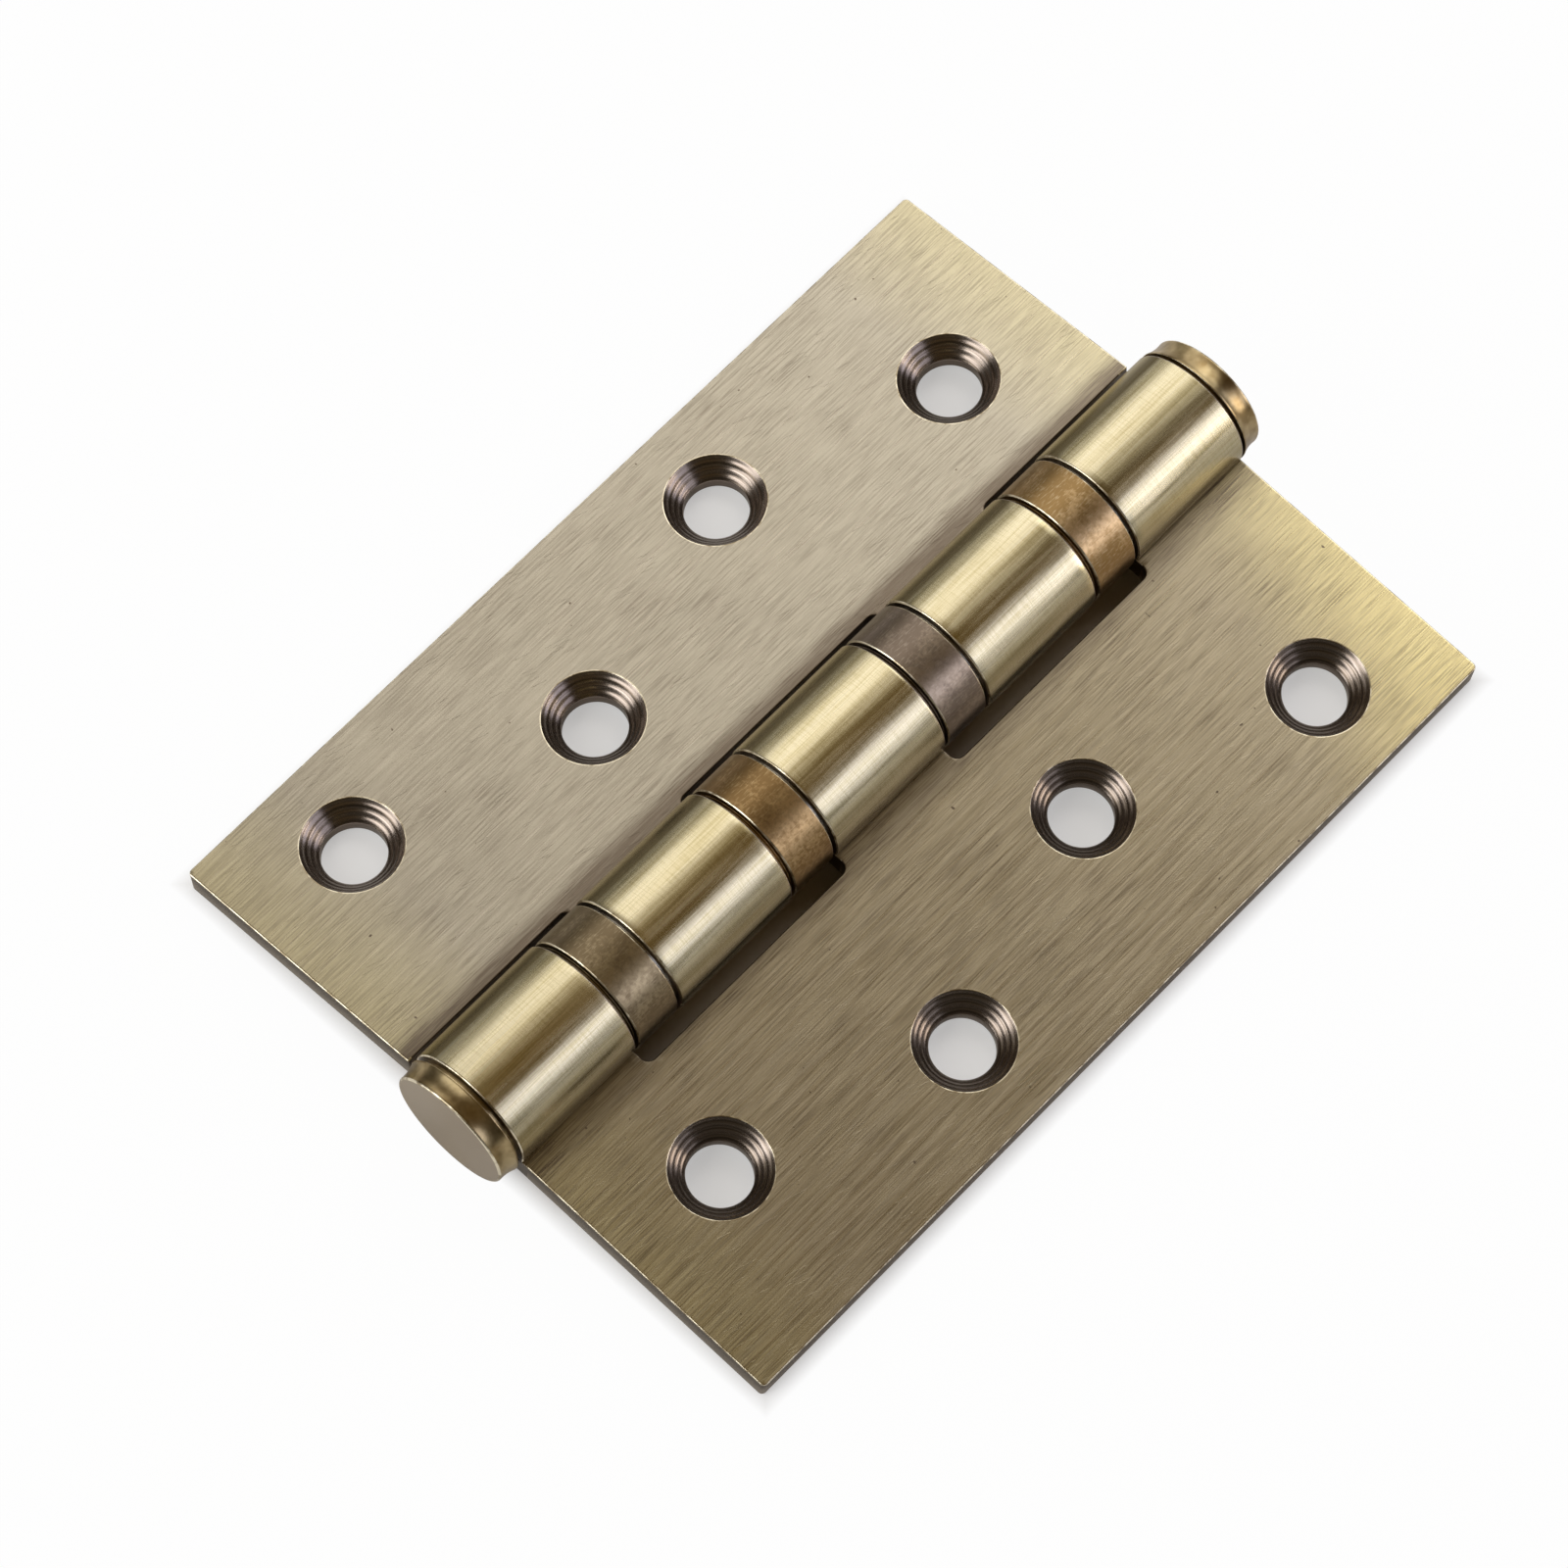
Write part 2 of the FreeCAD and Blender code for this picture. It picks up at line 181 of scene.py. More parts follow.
def softenCorners(points, cut, closed):
    # Each corner of more than 25 degrees becomes a parabola whose ends lie the cut away from it
    points = np.array(points, float)
    before = np.roll(points, 1, 0) - points
    after = np.roll(points, -1, 0) - points
    lengthBefore = np.hypot(*before.T)
    lengthAfter = np.hypot(*after.T)
    cosine = (before * after).sum(1) / (lengthBefore * lengthAfter)
    share = np.linspace(0, 1, 5)[:, None]
    made = []
    for number, corner in enumerate(points):
        isEnd = not closed and number in (0, len(points) - 1)
        if isEnd or cosine[number] < -math.cos(math.radians(25)):
            made.append(corner[None])
            continue
        reach = min(cut, 0.4 * lengthBefore[number], 0.4 * lengthAfter[number])
        enter = corner + before[number] / lengthBefore[number] * reach
        leave = corner + after[number] / lengthAfter[number] * reach
        made.append((1 - share) ** 2 * enter + 2 * share * (1 - share) * corner + share**2 * leave)
    return np.concatenate(made)


def lathe(profile, rubbedHighlightFrom):
    # Profile of (radius, place along the barrel) turned about the barrel's axis:
    # x = radius sin(angle), z = axis height + radius cos(angle).
    # Short slanting cells beyond that radius are rubbed corners, partly a painted highlight, and
    # get the second material.
    angle = np.linspace(0, 2 * math.pi, hinge["turnSteps"] + 1)[:, None]
    radius, along = profile[:, 0][None], profile[:, 1][None]
    x = radius * np.sin(angle)
    z = hinge["axisHeight"] + radius * np.cos(angle)
    points = np.stack([x, along + 0 * x, z], -1)
    uv = pairs(angle * hinge["barrel"], runAlong(profile)[None])
    reach, rise = np.abs(np.diff(profile, axis=0).T)
    slant, short = 0.25, 0.1
    slanting = (reach > slant * rise) & (rise > slant * reach) & (np.hypot(reach, rise) < short)
    return patch(points, uv, (slanting & (profile[1:, 0] > rubbedHighlightFrom)).astype(int)[None])


# ---- materials

mostNoise = (0.3, 0.7)      # nearly all of a noise pattern lies between these
smooth = {"interpolation_type": "SMOOTHSTEP"}
rgba = {"data_type": "RGBA"}


def linearColour(hexText):
    # sRGB hex to linear red, green, blue and alpha
    values = np.array([int(hexText[index:index + 2], 16) for index in (1, 3, 5)]) / 255
    linear = np.where(values <= 0.04045, values / 12.92, ((values + 0.055) / 1.055) ** 2.4)
    return (*linear.tolist(), 1.0)


def addNode(tree, kind, inputs=(), **settings):
    # One node with its settings and its inputs, in order or by key. An input is a value, a
    # colour's hex text, a socket, or a node whose first open output is used.
    node = tree.nodes.new("ShaderNode" + kind)
    for key, value in settings.items():
        setattr(node, key, value)
    for key, value in inputs.items() if isinstance(inputs, dict) else enumerate(inputs):
        if isinstance(value, bpy.types.Node):
            value = next(output for output in value.outputs if output.enabled)
        if isinstance(value, bpy.types.NodeSocket):
            tree.links.new(value, node.inputs[key])
        elif isinstance(value, str):
            node.inputs[key].default_value = linearColour(value)
        else:
            node.inputs[key].default_value = value
    return node


def newMaterial(name, build, *details):
    # The build function gets addNode for this material's tree, and adds the nodes
    material = bpy.data.materials.new(name)
    material.use_nodes = True
    material.node_tree.nodes.clear()
    build(partial(addNode, material.node_tree), *details)
    return material


def streaks(add, across, along, detail=2.0, turn=0.0):
    # Noise on the piece's texture map, drawn out into streaks of that width and length in mm
    source = add("UVMap", uv_map="surface")
    turned = add("Mapping", {"Vector": source, "Rotation": (0, 0, math.radians(turn))})
    scale = (1 / (across * metre), 1 / (along * metre), 1)
    place = add("Mapping", {"Vector": turned, "Scale": scale})
    inputs = {"Vector": place, "Scale": 1.0, "Detail": detail, "Roughness": 0.55}
    return add("TexNoise", inputs, noise_dimensions="2D")


def clouds(add, size, detail=3.0):
    # Soft patches of that size in mm, fixed in the piece's own space
    place = add("TexCoord").outputs["Object"]
    inputs = {"Vector": place, "Scale": 1 / (size * metre), "Detail": detail, "Roughness": 0.6}
    return add("TexNoise", inputs)


def ownAxes(add):
    # Across, along and up in the piece's own space
    return add("SeparateXYZ", [add("TexCoord").outputs["Object"]]).outputs


def metalShader(add, look, colour, height, pattern=None):
    # Bare metal. Its tool marks run along the piece, or round it where the look says turned.
    # The roughness is one value, or two that a noise pattern moves between.
    roughness = look["roughness"]
    if pattern is not None:
        roughness = add("MapRange", [pattern, *mostNoise, *roughness])
    inputs = {
        "Base Color": colour,
        "Metallic": 1.0,
        "Roughness": roughness,
        "Anisotropic": look.get("anisotropy", 0.0),
        "Anisotropic Rotation": 0.25 if look.get("turned") else 0.0,
        "Tangent": add("Tangent", direction_type="UV_MAP", uv_map="surface"),
        "Normal": add("Bump", {"Height": height, "Distance": look["depth"] * metre}),
    }
    add("OutputMaterial", {"Surface": add("BsdfPrincipled", inputs)})


plateFinish = {
    "khaki": {-1: "#c2bba9", 1: "#c8bda3"},     # greyish brass; the right plate's warmer tone is painted warm light
    "umber": "#7d7264",     # what is left of the dark stain in the brush lines, and the painted shade beside the barrel
    "brass": "#ddd2a4",     # brighter tone towards the ends of the plates
    "roughness": (0.27, 0.37),
    "anisotropy": 0.55,
    "depth": 0.011,
    "grain": (0.15, 4.8),   # real brush lines are about 0.05 mm wide, drawn coarser to show
    "grainStain": 0.5,
    "band": (0.5, 14.0),
    "bandStain": 0.13,
    "stray": (0.12, 4.0),   # the few scratches off the brush's direction
    "strayTurn": 17,
    "patch": 9.0,
    "speck": 0.6,
    "endStart": 38.0,       # distance from the middle where the brass tone begins
    "endShare": 0.6,
    "sheen": "#fff0b6",     # painted highlight, brightest at the outer far corner of the right plate
    "sheenStart": 46.0,     # from here to the end, of half the distance across plus that along
    "sheenEnd": 69.0,
    "neckStart": 8.6,       # painted shade beside the barrel, from here to the end
    "neckEnd": 11.0,
    "neckShare": {-1: 0.84, 1: 0.42},
}


def brushedPlate(add, look, facing):
    # Steel plated antique brass, brushed along the hinge: long fine lines that spread a highlight
    # across the plate, stain left in the deeper ones, a few stray scratches and specks
    grain = streaks(add, *look["grain"], 3.0)
    band = streaks(add, *look["band"])
    stray = streaks(add, *look["stray"], 0.0, look["strayTurn"])
    height = add("Math", [band, 0.9, grain], operation="MULTIPLY_ADD")
    scratch = add("MapRange", [stray, 0.84, 0.88, 0.0, 0.8])
    height = add("Math", [height, scratch], operation="ADD")

    grainStain = add("MapRange", [grain, 0.60, 0.34, 0.0, look["grainStain"]])
    bandStain = add("MapRange", [band, 0.60, 0.32, 0.0, look["bandStain"]])
    stain = add("Math", [grainStain, bandStain], operation="ADD")
    patches = add("MapRange", [clouds(add, look["patch"]), *mostNoise, 0.45, 1.15])
    stain = add("Math", [stain, patches], operation="MULTIPLY")
    speck = add("MapRange", [clouds(add, look["speck"], 0.0), 0.87, 0.90])
    stain = add("Math", [stain, speck], operation="ADD")
    across = add("SeparateXYZ", [add("UVMap", uv_map="surface")])
    # Painted shade: the plate darkens towards the barrel, added to the stain
    ends = look["neckStart"] * metre, look["neckEnd"] * metre
    neck = add("MapRange", [across, *ends, look["neckShare"][facing], 0.0], **smooth)
    stain = add("Math", [neck, stain], operation="ADD", use_clamp=True)

    axes = ownAxes(add)
    distance = add("Math", [axes[1]], operation="ABSOLUTE")
    ends = look["endStart"] * metre, hinge["halfLength"] * metre
    endTone = add("MapRange", [distance, *ends, 0.0, look["endShare"]])
    bright = add("Mix", {0: endTone, 6: look["khaki"][facing], 7: look["brass"]}, **rgba)
    # Painted highlight towards the outer far corner of the right plate
    corner = add("Math", [axes[0], 0.5, axes[1]], operation="MULTIPLY_ADD")
    ends = look["sheenStart"] * metre, look["sheenEnd"] * metre
    corner = add("MapRange", [corner, *ends], **smooth)
    bright = add("Mix", {0: corner, 6: bright, 7: look["sheen"]}, **rgba)
    colour = add("Mix", {0: stain, 6: bright, 7: look["umber"]}, **rgba)
    metalShader(add, look, colour, height, band)


edgeFinish = {
    # Dark sheared edge; in the slots and on the knuckles' +Y bevels it also stands as painted shade
    "stain": "#5f5548",
    "pale": "#b5aa9b",      # painted reflection of the floor, paler, on the lower part of the sheared edge
    "paleStart": -1.8,
    "paleEnd": -3.4,
    "line": (0.3, 6.0),
    "depth": 0.01,
    "roughness": 0.38,
    "anisotropy": 0.3,
}


def stainedAndShadedEdge(add, look):
    # Sheared side of the plate, plated but never brushed: dark, also painted shade in the slots;
    # paler low down as a painted reflection of the floor; faint drag lines
    line = streaks(add, *look["line"], 3.0)
    height = add("SeparateXYZ", [add("UVMap", uv_map="surface")])
    # Painted reflection of the floor: paler towards the bottom of the edge
    fade = add("MapRange", [height, look["paleStart"] * metre, look["paleEnd"] * metre])
    share = add("Math", [fade, line], operation="MULTIPLY")
    colour = add("Mix", {0: share, 6: look["stain"], 7: look["pale"]}, **rgba)
    metalShader(add, look, colour, line)


rubbedHighlightFinish = {
    "bright": "#efe6cd",
    "dull": "#a3957a",
    "wear": 1.5,
    "depth": 0.004,
    "roughness": 0.30,
}


def rubbedHighlightEdge(add, look):
    # Corners rubbed bright by handling and polishing, and partly a painted highlight: they show as
    # thin light lines
    wear = clouds(add, look["wear"])
    share = add("MapRange", [wear, 0.45, 0.6])
    colour = add("Mix", {0: share, 6: look["bright"], 7: look["dull"]}, **rgba)
    metalShader(add, look, colour, wear)


knuckleFinish = {
    "brass": "#f1e7c4",
    "olive": "#b8a974",
    "patina": "#55471f",    # dark colour of the painted shade on the flanks and the top
    "roughness": (0.20, 0.29),
    "anisotropy": 0.5,
    "depth": 0.0035,
    "grain": (0.2, 9.0),
    "grainStain": 0.30,
    "cross": (2.4, 0.16),   # fine lines round the barrel from the last polish
    "crossStain": 0.17,
    "band": (0.9, 16.0),
    "bandStain": 0.35,
    "flanks": [             # painted shade on the flanks: from and to across the barrel in mm, share and colour
        (-3.7, -4.6, 0.92, "patina"),
        (-5.0, -6.2, 0.75, "olive"),
        (4.9, 6.3, 0.5, "patina"),
    ],
    "crownShare": 0.52,     # painted shade on the top towards the far end
    "crown": [              # axis (0 across, 1 along), from and to in mm
        (0, -2.2, 0.8),
        (0, 3.0, 1.9),
        (1, 0.0, 50.0),
    ],
}


def brushedKnuckle(add, look):
    # The same plating on the rolled knuckles, polished brighter: long streaks, fine lines across
    grain = streaks(add, *look["grain"])
    cross = streaks(add, *look["cross"], 1.0)
    band = streaks(add, *look["band"])
    height = add("Math", [cross, 0.2, grain], operation="MULTIPLY_ADD")
    height = add("Math", [band, 1.2, height], operation="MULTIPLY_ADD")

    grainStain = add("MapRange", [grain, 0.58, 0.30, 0.0, look["grainStain"]])
    crossStain = add("MapRange", [cross, 0.55, 0.30, 0.0, look["crossStain"]])
    bandStain = add("MapRange", [band, 0.6, 0.3, 0.0, look["bandStain"]])
    stain = add("Math", [grainStain, crossStain], operation="ADD")
    stain = add("Math", [stain, bandStain], operation="ADD", use_clamp=True)
    colour = add("Mix", {0: stain, 6: look["brass"], 7: look["olive"]}, **rgba)
    axes = ownAxes(add)
    # Painted shade on the barrel's flanks
    for start, end, share, tint in look["flanks"]:
        flankShade = add("MapRange", [axes[0], start * metre, end * metre, 0.0, share], **smooth)
        colour = add("Mix", {0: flankShade, 6: colour, 7: look[tint]}, **rgba)
    # Painted shade on the top of the barrel towards the far end
    crown = look["crownShare"]
    for axis, start, end in look["crown"]:
        ramp = add("MapRange", [axes[axis], start * metre, end * metre], **smooth)
        crown = add("Math", [ramp, crown], operation="MULTIPLY")
    colour = add("Mix", {0: crown, 6: colour, 7: look["patina"]}, **rgba)
    metalShader(add, look, colour, height, band)


sinkFinish = {
    "gunmetal": "#a0948b",
    "shadow": "#675c50",
    "roughness": 0.25,
    "anisotropy": 0.4,
    "turned": True,
    "ring": (60.0, 0.3),    # pitch of the cutter's rings, drawn coarser than the real ones
    "depth": 0.0003,
}


def turnedSink(add, look):
    # Countersink cut by a turning tool before plating: close rings that give two bright wedges
    ring = streaks(add, *look["ring"], 1.0)
    stain = add("MapRange", [ring, *mostNoise])
    colour = add("Mix", {0: stain, 6: look["gunmetal"], 7: look["shadow"]}, **rgba)
    metalShader(add, look, colour, ring)


ringFinish = {
    "scratch": (0.16, 1.0),
    "roughness": (0.29, 0.37),
    "anisotropy": 0.25,
    "depth": 0.003,
    "mottle": 0.42,         # fine spots and large patches of the bronzing, in mm
    "patch": 2.4,
    "darkSides": [          # painted shade on the ring's sides across the barrel: from, to, share
        (3.4, -1.5, 0.75),
        (4.4, 6.4, 0.7),
    ],
}


def bronzedRing(add, look, tone, patina, bright):
    # Pressed steel ring, bronzed and lightly rubbed: satin, finely mottled, with short scratches,
    # and painted shade on its sides
    scratch = streaks(add, *look["scratch"])
    mottle = clouds(add, look["mottle"])
    spots = add("MapRange", [mottle, 0.42, 0.62, 0.0, 0.45])
    large = add("MapRange", [clouds(add, look["patch"], 2.0), 0.42, 0.60, 0.0, 0.42])
    mottleAndShade = add("Math", [spots, large], operation="ADD")
    across = ownAxes(add)[0]
    # Painted shade on the ring's sides, added to its mottle
    for start, end, share in look["darkSides"]:
        flankShade = add("MapRange", [across, start * metre, end * metre, 0.0, share], **smooth)
        mottleAndShade = add("Math", [mottleAndShade, flankShade], operation="ADD", use_clamp=True)
    colour = add("Mix", {0: mottleAndShade, 6: tone, 7: patina}, **rgba)
    light = add("MapRange", [scratch, 0.56, 0.76, 0.0, 0.35])
    colour = add("Mix", {0: light, 6: colour, 7: bright}, **rgba)
    height = add("Math", [mottle, 0.7, scratch], operation="MULTIPLY_ADD")
    metalShader(add, look, colour, height, mottle)


buttonFinish = {
    "bronze": "#c4b188",
    "brown": "#87734f",
    "cloud": 3.0,
    "face": "#a3937a",      # flat end, greyer than the cove
    "faceStart": 53.4,      # from here to the end, distance from the hinge's middle
    "faceEnd": 53.55,
    "roughness": 0.28,
    "anisotropy": 0.3,
    "turned": True,
    "ring": (40.0, 0.2),
    "depth": 0.002,
}


def turnedButton(add, look):
    # Turned steel button, plated antique brass: faint rings, browner where the stain stayed
    ring = streaks(add, *look["ring"], 1.0)
    cloud = clouds(add, look["cloud"])
    share = add("MapRange", [cloud, 0.35, 0.65])
    colour = add("Mix", {0: share, 6: look["bronze"], 7: look["brown"]}, **rgba)
    along = add("Math", [ownAxes(add)[1]], operation="ABSOLUTE")
    face = add("MapRange", [along, look["faceStart"] * metre, look["faceEnd"] * metre])
    colour = add("Mix", {0: face, 6: colour, 7: look["face"]}, **rgba)
    height = add("Math", [ring, cloud], operation="ADD")
    metalShader(add, look, colour, height)


raceFinish = {
    "tone": "#b9b4aa",
    "shade": "#a29c90",
    "roughness": (0.24, 0.30),
    "depth": 0.001,
}
ballFinish = {**raceFinish, "tone": "#d9d9dc", "shade": "#cbcbd0", "roughness": (0.08, 0.14)}


def groundSteel(add, look):
    # Hardened steel, ground or polished: clean and even with hardly any marks
    cloud = clouds(add, 1.2)
    colour = add("Mix", {0: cloud, 6: look["tone"], 7: look["shade"]}, **rgba)
    metalShader(add, look, colour, cloud, cloud)


nylonFinish = {
    "tone": "#e6e0cf",
    "shade": "#d8d0ba",
    "roughness": (0.45, 0.55),
    "depth": 0.004,
    "ior": 1.53,
}


def mouldedNylon(add, look):
    # Natural moulded nylon: cream, slightly waxy, with a faint eggshell surface
    cloud = clouds(add, 0.8)
    inputs = {
        "Base Color": add("Mix", {0: cloud, 6: look["tone"], 7: look["shade"]}, **rgba),
        "Roughness": add("MapRange", [cloud, *mostNoise, *look["roughness"]]),
        "IOR": look["ior"],
        "Normal": add("Bump", {"Height": cloud, "Distance": look["depth"] * metre}),
    }
    add("OutputMaterial", {"Surface": add("BsdfPrincipled", inputs)})


plateMetals = {
    -1: newMaterial("antiqueBrassBrushedPlate", brushedPlate, plateFinish, -1),
    1: newMaterial("antiqueBrassBrushedPlatePaintedWarmLight", brushedPlate, plateFinish, 1),
}
edgeMetal = newMaterial("stainedShearedEdgeWithPaintedShade", stainedAndShadedEdge, edgeFinish)
rubbedHighlightMetal = newMaterial("rubbedBrassEdgeHighlight", rubbedHighlightEdge, rubbedHighlightFinish)
knuckleMetal = newMaterial("antiqueBrassPolishedKnuckle", brushedKnuckle, knuckleFinish)
sinkMetal = newMaterial("turnedCountersink", turnedSink, sinkFinish)
buttonMetal = newMaterial("antiqueBrassTurnedButton", turnedButton, buttonFinish)
ringTones = {               # tone, patina and rubbed tone of bearings 1 to 4; the patina also colours the painted shade
    "bronzedSteelOliveBrown": ("#b3a382", "#7f7057", "#cdbf9f"),
    "bronzedSteelCopperBrown": ("#c7a97a", "#866c47", "#dfc696"),
    "bronzedSteelGreyBrown": ("#a99a88", "#7c6f62", "#c4b8a8"),
    "bronzedSteelPaleCopper": ("#ccb087", "#93784f", "#efdcb8"),
}
ringMetals = [newMaterial(name, bronzedRing, ringFinish, *ringTones[name]) for name in ringTones]
raceMetal = newMaterial("groundBearingSteel", groundSteel, raceFinish)
ballMetal = newMaterial("polishedBallSteel", groundSteel, ballFinish)
nylon = newMaterial("naturalNylon", mouldedNylon, nylonFinish)
print("materials made")


# ---- leaves

plate, knuckle, sink, side, rubbedHighlight = range(5)       # material numbers of a leaf


def spacedLines(breaks):
    # Lines that keep every break, with steps of about the pitch, at least four between two breaks
    breaks = np.unique(np.round(breaks, 6))
    counts = np.maximum(np.ceil(np.diff(breaks) / leaf["pitch"]), 4).astype(int)
    runs = [np.linspace(*run, endpoint=False) for run in zip(breaks, breaks[1:], counts)]
    return np.concatenate([*runs, breaks[-1:]])


def between(lines, start, end):
    # The lines from start to end, in that order
    near = 1e-4
    chosen = lines[(lines > min(start, end) - near) & (lines < max(start, end) + near)]
    return chosen if start < end else chosen[::-1]


def atHeight(flat, height):
    # Points (across, along, height) from pairs and heights
    heights = np.broadcast_to(height, flat.shape[:-1])
    return np.concatenate([flat, heights[..., None]], -1)


def flatPatch(flat, height, keep=None):
    return patch(atHeight(flat, height), flat, plate, keep)


def quarterTurn(centre, radius, startAngle, count, outward=1):
    # Arc of a quarter turn to the left, with the plate's outward normals
    angle = math.radians(startAngle) + np.linspace(0, math.pi / 2, count)
    direction = ray(angle)
    return np.array(centre) + radius * direction, outward * direction


def straightRun(points, normal):
    return points, np.broadcast_to(normal, points.shape)


def reversedRun(run):
    return run[0][::-1], run[1][::-1]


def edgeWall(runs):
    # The plate's edge: a path of points and normals, carried down a profile with rounded ends
    points = np.concatenate([run[0] for run in runs])
    normals = np.concatenate([run[1] for run in runs])
    angle = np.linspace(0, math.pi / 2, leaf["roundSteps"])
    face, back, edge = leaf["face"], leaf["back"], leaf["edge"]
    roundOut, roundDown = edge * np.sin(angle), edge * (1 - np.cos(angle))
    flat = np.linspace(face - edge, back + edge, leaf["acrossSteps"])[1:-1]
    out = np.concatenate([roundOut, np.full(len(flat), edge), roundOut[::-1]])
    height = np.concatenate([face - roundDown, flat, back + roundDown[::-1]])
    place = points[None] + normals[None] * out[:, None, None]
    uv = pairs(height[:, None], runAlong(points)[None])
    # Only the upper rounding outside the slots gets the rubbed colour, partly a painted highlight;
    # in the slots it keeps the dark edge colour as painted shade
    slotSide, slotEnd = leaf["neck"] + 1.5, hinge["halfLength"] - 1
    rounding = np.arange(len(height) - 1)[:, None] < leaf["roundSteps"] - 1
    inSlot = (points[1:, 0] < slotSide) & (abs(points[1:, 1]) < slotEnd)
    return patch(atHeight(place, height[:, None]), uv, np.where(rounding & ~inSlot, rubbedHighlight, side))


def rollSection():
    # The knuckle's wall as two matching curves: outside (barrel, swage, back) and inside (bore,
    # front face). Also their inward directions, the bevel along the outside and their lengths.
    outsideRadius, insideRadius = hinge["barrel"], hinge["bore"]
    sideways = math.sqrt((outsideRadius + leaf["swage"]) ** 2 - (leaf["back"] - leaf["swage"]) ** 2)
    swageCentre = np.array([sideways, leaf["back"] - leaf["swage"]])
    touch = math.atan2(*swageCentre[::-1]) + 2 * math.pi
    seamHeight = leaf["face"] + leaf["seam"]
    faceAngle = math.asin(leaf["face"] / insideRadius) + 2 * math.pi
    rollSteps, swageSteps = leaf["rollSteps"], leaf["swageSteps"]
    outside = np.linspace(math.asin(seamHeight / outsideRadius), touch, rollSteps)
    inside = np.linspace(math.asin(seamHeight / insideRadius), touch, rollSteps)
    lastInside = np.linspace(touch, faceAngle, swageSteps)[1:]
    swageAngle = np.linspace(touch - math.pi, math.pi / 2, swageSteps)[1:]
    neck = np.linspace(0, 1, leaf["neckSteps"] + 1)[1:, None]
    swagePoints = swageCentre + leaf["swage"] * ray(swageAngle)
    backEnd = np.array([leaf["neck"], leaf["back"]])
    faceEnd = np.array([leaf["neck"], leaf["face"]])
    boreEnd = insideRadius * ray(lastInside[-1:])
    outerNeck = swagePoints[-1:] * (1 - neck) + backEnd * neck
    innerNeck = boreEnd * (1 - neck) + faceEnd * neck
    outer = np.concatenate([outsideRadius * ray(outside), swagePoints, outerNeck])
    inner = np.concatenate([insideRadius * ray(inside), insideRadius * ray(lastInside), innerNeck])
    up = np.broadcast_to([0.0, 1.0], (len(neck), 2))
    outerInward = np.concatenate([-ray(outside), ray(swageAngle), up])
    innerInward = np.concatenate([ray(inside), ray(lastInside), -up])
    fade = np.linspace(1, 0, swageSteps)[1:]
    taper = np.concatenate([np.ones(len(outside)), fade, np.zeros(len(neck))])
    bevel = leaf["edge"] + (leaf["knuckleEdge"] - leaf["edge"]) * taper

    lengths = [run - run[-1] + leaf["neck"] for run in (runAlong(outer), runAlong(inner))]
    return outer, inner, outerInward, innerInward, bevel, *lengths


def knucklePatches(start, end, yLines, facing):
    # The wall's two curves carried along the barrel, with rounded ends, and the ends closed.
    # The bevel that ends up towards -Y gets the bright rubbed colour, partly a painted highlight;
    # the other one gets the dark edge colour as painted shade.
    outer, inner, outerInward, innerInward, outerBevel, outerRun, innerRun = rollSection()
    innerBevel = np.full(len(inner), leaf["edge"])
    inside = between(yLines, start + leaf["edge"], end - leaf["edge"])[1:-1]
    angle = np.linspace(0, math.pi / 2, leaf["roundSteps"])

    def carried(curve, inward, bevel):
        low = start + bevel * (1 - np.sin(angle[::-1, None]))
        high = end - bevel * (1 - np.sin(angle[:, None]))
        middle = np.broadcast_to(inside[:, None], (len(inside), len(curve)))
        along = np.concatenate([low, middle, high])
        dip = bevel * (1 - np.cos(angle[:, None]))
        shift = np.concatenate([dip[::-1], 0 * middle, dip])
        place = curve[None] + inward[None] * shift[..., None]
        return np.stack([place[..., 0], along, place[..., 1]], -1)

    outerPoints = carried(outer, outerInward, outerBevel)
    innerPoints = carried(inner, innerInward, innerBevel)
    share = np.linspace(0, 1, leaf["acrossSteps"])[:, None, None]
    patches = []
    # Painted highlight on the -Y bevel and painted shade on the +Y bevel
    cell = np.arange(len(outerPoints) - 1)[::facing, None]
    metals = np.where(cell < leaf["roundSteps"] - 1, rubbedHighlight, knuckle)
    metals = np.where(cell > len(cell) - leaf["roundSteps"], side, metals)
    for points, run, metal in ((outerPoints, outerRun, metals), (innerPoints, innerRun, knuckle)):
        uv = pairs(run[None], points[..., 1])
        split = points.shape[1] - leaf["neckSteps"] - 1
        patches.append(patch(points[:, :split + 1], uv[:, :split + 1], metal))
        patches.append(patch(points[:, split:], uv[:, split:], plate))
    for row in (0, -1):
        cap = innerPoints[row] * (1 - share) + outerPoints[row] * share
        patches.append(patch(cap, cap[..., [0, 2]], side))
    rollEnd = innerPoints[:, 0] * (1 - share) + outerPoints[:, 0] * share
    patches.append(patch(rollEnd, rollEnd[..., [0, 1]], knuckle))
    return patches


